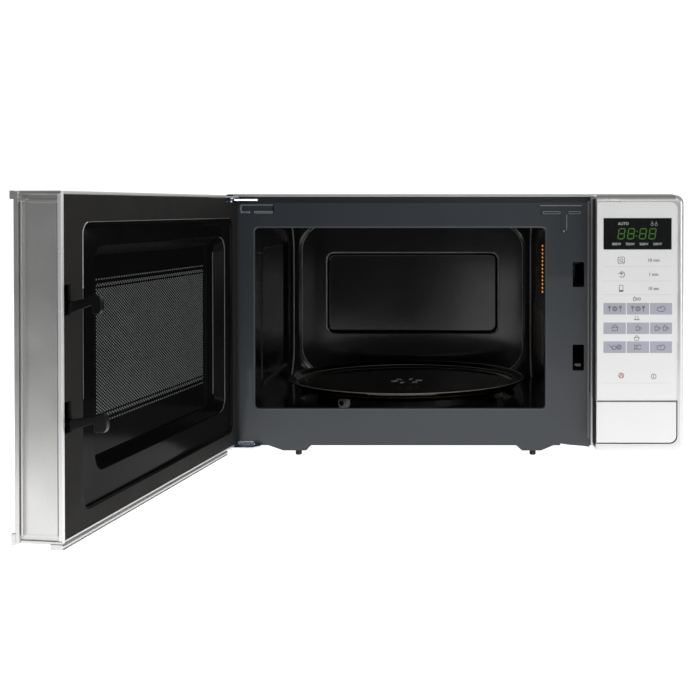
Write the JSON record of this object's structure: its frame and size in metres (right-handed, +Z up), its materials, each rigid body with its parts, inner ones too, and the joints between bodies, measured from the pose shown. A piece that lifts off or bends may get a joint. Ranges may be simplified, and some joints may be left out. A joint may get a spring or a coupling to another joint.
{
  "type": "microwave oven",
  "caption": "Countertop microwave oven with a side-hinged door shown open, a glass turntable on a roller ring, and a control panel with a push button that opens the door.",
  "frame": {"origin": "middle of the bounding box in X and Y, on the surface that the feet stand on", "axes": "+X to the right along the cabinet's front, +Y from the front plate to the rear, +Z up; the door stands open towards -Y"},
  "size_m": [0.5186, 0.6596, 0.258],
  "materials": {
    "plate_paint": "smooth dark paint on sheet steel",
    "cover_paint": "silver grey paint on sheet steel",
    "black_enamel": "glossy fired enamel",
    "zinc_plate": "bright zinc plated steel",
    "silver_plastic": "silver painted moulding",
    "white_silver": "pale silver print on plastic",
    "matt_black": "matt charcoal moulding",
    "gloss_black": "high gloss black",
    "glass": "clear",
    "smoked_window": "smoked, glossy",
    "white_nylon": "plain moulding",
    "rubber": "plain",
    "copper_winding": "enamelled copper wire, wound",
    "steel": "bare sheet and spring steel",
    "aluminium": "plain",
    "circuit_board": "laminate with components",
    "mica": "pressed mica sheet"
  },
  "bodies": {
    "cabinet": {"front_plate": "plate_paint", "base_pan": "plate_paint", "cavity_liner": "black_enamel", "waveguide_cover": "mica", "outer_cover": "cover_paint", "back_panel": "cover_paint", "cord_inlet_bush": "rubber", "foot_front_left": "rubber", "foot_front_right": "rubber", "foot_rear_left": "rubber", "foot_rear_right": "rubber", "hinge_bracket_top": "zinc_plate", "hinge_bracket_bottom": "zinc_plate", "hinge_pin_top": "zinc_plate", "hinge_pin_bottom": "zinc_plate", "turntable_motor": "zinc_plate", "waveguide": "zinc_plate", "magnetron_yoke": "zinc_plate", "capacitor_clamp": "zinc_plate", "fan_shroud": "zinc_plate", "lamp_holder": "white_nylon", "lamp_bulb": "glass", "air_duct": "matt_black", "thermal_cutout": "matt_black", "high_voltage_diode": "matt_black", "latch_board": "matt_black", "primary_switch": "matt_black", "monitor_switch": "matt_black", "secondary_switch": "matt_black", "magnetron_anode": "aluminium", "capacitor": "aluminium", "transformer_core": "steel", "fan_motor": "steel", "transformer_windings": "copper_winding", "noise_filter_board": "circuit_board", "control_board": "circuit_board", "control_panel_bezel": "silver_plastic", "keypad_overlay": "white_silver", "display_window": "smoked_window"},
    "door": {"door_frame": "silver_plastic", "door_glass": "smoked_window", "door_screen": "steel", "inner_film": "glass", "inner_bezel": "gloss_black", "choke_cover": "matt_black"},
    "latch": {"door_latch": "matt_black", "latch_spring": "steel"},
    "button": {"door_button": "white_silver", "button_spring": "steel"},
    "lever": {"opening_lever": "white_nylon"},
    "turntable": {"turntable_coupler": "white_nylon", "turntable_plate": "glass"},
    "ring": {"roller_ring": "white_nylon"},
    "roller_a": {"roller_1": "white_nylon"},
    "roller_b": {"roller_2": "white_nylon"},
    "roller_c": {"roller_3": "white_nylon"},
    "fan": {"fan_blade": "white_nylon"},
    "primary_tip": {"primary_plunger": "white_silver"},
    "monitor_tip": {"monitor_plunger": "white_silver"},
    "secondary_tip": {"secondary_plunger": "white_silver"}
  },
  "joints": [
    {"name": "door_hinge", "type": "hinge", "parent": "cabinet", "child": "door", "pos_m": [-0.175, 0.0165, 0.135], "axis": [0, 0, 1], "range_deg": [0, 99]},
    {"name": "latch_slide", "type": "slide", "parent": "door", "child": "latch", "axis": [0, 0, 1], "range_m": [0, 0.004], "stiffness_N_per_m": 150, "springref_m": -0.004, "deforming": ["latch_spring"]},
    {"name": "door_button_slide", "type": "slide", "parent": "cabinet", "child": "button", "axis": [0, 1, 0], "range_m": [0, 0.0055], "stiffness_N_per_m": 350, "springref_m": -0.004, "deforming": ["button_spring"]},
    {"name": "opening_lever_pivot", "type": "hinge", "parent": "cabinet", "child": "lever", "pos_m": [0.1813, 0.031, 0.082], "axis": [1, 0, 0], "range_deg": [0, 12.1]},
    {"name": "turntable_spin", "type": "hinge", "parent": "cabinet", "child": "turntable", "pos_m": [-0.0111, 0.16, 0.05], "axis": [0, 0, 1], "continuous": true},
    {"name": "roller_ring_spin", "type": "hinge", "parent": "cabinet", "child": "ring", "pos_m": [-0.0111, 0.16, 0.046], "axis": [0, 0, 1], "continuous": true},
    {"name": "roller_a_spin", "type": "hinge", "parent": "ring", "child": "roller_a", "pos_m": [-0.07105, 0.07748, 0.0459], "axis": [-0.5878, -0.809, 0], "continuous": true},
    {"name": "roller_b_spin", "type": "hinge", "parent": "ring", "child": "roller_b", "pos_m": [0.09034, 0.14934, 0.0459], "axis": [0.9945, -0.1045, 0], "continuous": true},
    {"name": "roller_c_spin", "type": "hinge", "parent": "ring", "child": "roller_c", "pos_m": [-0.05259, 0.25318, 0.0459], "axis": [-0.4067, 0.9135, 0], "continuous": true},
    {"name": "fan_spin", "type": "hinge", "parent": "cabinet", "child": "fan", "pos_m": [0.1953, 0.278, 0.178], "axis": [0, 1, 0], "continuous": true},
    {"name": "primary_plunger_slide", "type": "slide", "parent": "cabinet", "child": "primary_tip", "axis": [0, 1, 0], "range_m": [0, 0.0015], "stiffness_N_per_m": 400, "springref_m": -0.001},
    {"name": "monitor_plunger_slide", "type": "slide", "parent": "cabinet", "child": "monitor_tip", "axis": [0, 1, 0], "range_m": [0, 0.0015], "stiffness_N_per_m": 400, "springref_m": -0.001},
    {"name": "secondary_plunger_slide", "type": "slide", "parent": "cabinet", "child": "secondary_tip", "axis": [0, 1, 0], "range_m": [0, 0.0015], "stiffness_N_per_m": 400, "springref_m": -0.001}
  ],
  "couplings": [
    {"joint": "opening_lever_pivot", "follows": "door_button_slide", "rad_per_m": 38.18},
    {"joint": "roller_ring_spin", "follows": "turntable_spin", "ratio": 0.5},
    {"joint": "roller_a_spin", "follows": "turntable_spin", "ratio": -8.3607},
    {"joint": "roller_b_spin", "follows": "turntable_spin", "ratio": -8.3607},
    {"joint": "roller_c_spin", "follows": "turntable_spin", "ratio": -8.3607}
  ]
}
